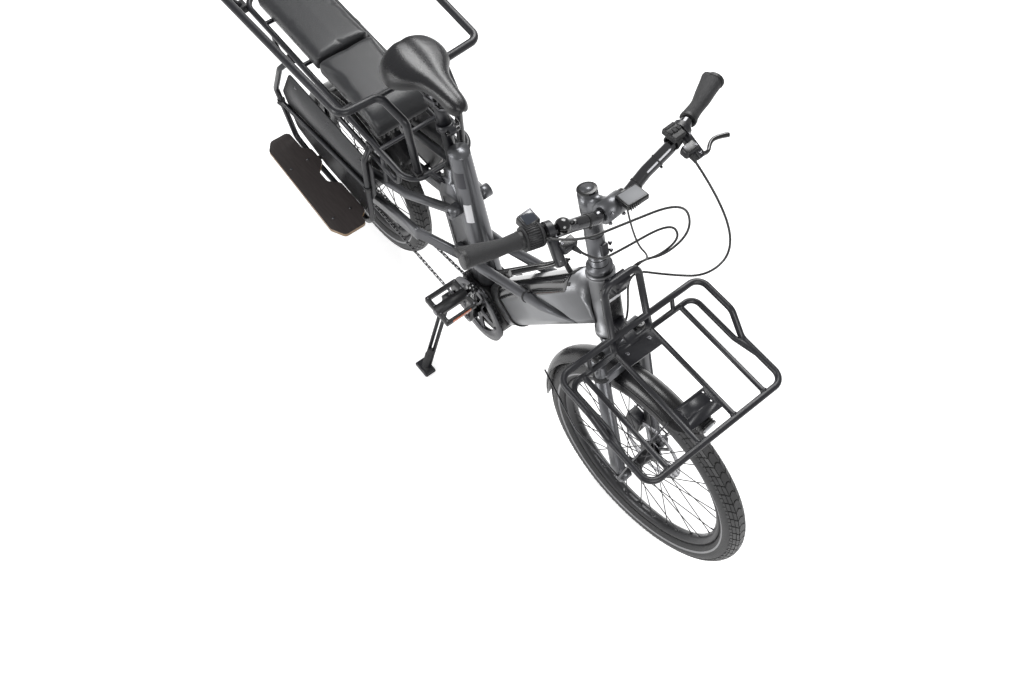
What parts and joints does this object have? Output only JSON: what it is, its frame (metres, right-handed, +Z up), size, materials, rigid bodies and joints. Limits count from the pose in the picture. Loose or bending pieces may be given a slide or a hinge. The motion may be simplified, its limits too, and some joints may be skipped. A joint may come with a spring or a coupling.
{
  "type": "longtail electric cargo bike",
  "caption": "Longtail cargo bike with seat pads, rails and footboards over a small rear wheel, a front rack, steering fork, centre stand, crank and pedals.",
  "frame": {"origin": "on the ground under the middle of the bike's length, on its centre plane", "axes": "+X forward, +Y to the rider's left, +Z up"},
  "size_m": [1.8849, 0.6582, 1.1742],
  "materials": {
    "black_metal": "satin black powder coat",
    "dark_steel": "darkened steel",
    "frame_paint": "satin iron-grey paint",
    "gloss_black": "gloss black",
    "lamp_red": "red lens",
    "leatherette": "dark grey leatherette",
    "plastic_black": "black moulded plastic",
    "plastic_grey": "grey moulded plastic",
    "plywood": "dark film-faced plywood with pale edges",
    "rim_black": "black anodised rim, spokes and hub",
    "rubber": "matt grip rubber",
    "saddle_cover": "black saddle cover",
    "steel": "bare steel",
    "tyre": "block tread with a pale reflective stripe"
  },
  "bodies": {
    "frame": {"head_tube": "frame_paint", "down_tube": "frame_paint", "battery_cover": "frame_paint", "seat_tube": "frame_paint", "drive_unit": "plastic_black", "mixte_stays": "frame_paint", "chainstays": "frame_paint", "rear_axle": "dark_steel", "rack_stays": "frame_paint", "rear_rack": "black_metal", "rear_seat_pad": "leatherette", "front_seat_pad": "leatherette", "safety_rail": "black_metal", "side_rails": "black_metal", "wheel_guards": "plastic_grey", "footboards": "plywood", "rear_fender": "plastic_black", "rear_light": "lamp_red", "seat_post": "black_metal", "post_clamp": "black_metal", "saddle_rails": "dark_steel", "saddle": "saddle_cover", "front_rack": "black_metal", "headlight": "plastic_black", "chain": "dark_steel", "rear_caliper": "black_metal", "stand_bracket": "black_metal", "lock_strap": "plastic_black"},
    "steering": {"fork": "frame_paint", "front_axle": "dark_steel", "stem": "frame_paint", "handlebar": "gloss_black", "grips": "rubber", "shifter": "plastic_black", "brake_levers": "gloss_black", "bell": "gloss_black", "remote": "plastic_black", "display": "plastic_black", "front_fender": "plastic_black", "fender_stays": "dark_steel", "front_caliper": "black_metal", "front_hose": "rubber", "control_cables": "rubber"},
    "front_wheel": {"front_tyre": "tyre", "front_rim": "rim_black", "front_rotor": "steel"},
    "rear_wheel": {"rear_tyre": "tyre", "rear_rim": "rim_black", "rear_sprocket": "dark_steel", "rear_rotor": "steel"},
    "crank": {"crank_arms": "gloss_black", "chainring": "dark_steel"},
    "pedal_left": {"pedal_left": "plastic_black"},
    "pedal_right": {"pedal_right": "plastic_black"},
    "stand": {"stand": "black_metal"}
  },
  "joints": [
    {"name": "steer", "type": "hinge", "parent": "frame", "child": "steering", "pos_m": [0.58785, 0, 0.29774], "axis": [-0.3502, 0, 0.9367], "range_deg": [-48.6, 41.4], "deforming": ["control_cables", "front_hose"]},
    {"name": "front_wheel_spin", "type": "hinge", "parent": "steering", "child": "front_wheel", "pos_m": [0.62992, 0.00283, 0.31347], "axis": [-0.0588, 0.998, -0.022], "continuous": true},
    {"name": "rear_wheel_spin", "type": "hinge", "parent": "frame", "child": "rear_wheel", "pos_m": [-0.52, 0, 0.263], "axis": [0, 1, 0], "continuous": true},
    {"name": "crank_spin", "type": "hinge", "parent": "frame", "child": "crank", "pos_m": [0.046, 0, 0.31], "axis": [0, 1, 0], "continuous": true},
    {"name": "pedal_left_spin", "type": "hinge", "parent": "crank", "child": "pedal_left", "pos_m": [0.0254, 0.16, 0.14226], "axis": [0, 1, 0], "continuous": true},
    {"name": "pedal_right_spin", "type": "hinge", "parent": "crank", "child": "pedal_right", "pos_m": [0.0666, -0.16, 0.47774], "axis": [0, 1, 0], "continuous": true},
    {"name": "stand_fold", "type": "hinge", "parent": "frame", "child": "stand", "pos_m": [-0.088, 0, 0.188], "axis": [0, 1, 0], "range_deg": [0, 100]}
  ]
}
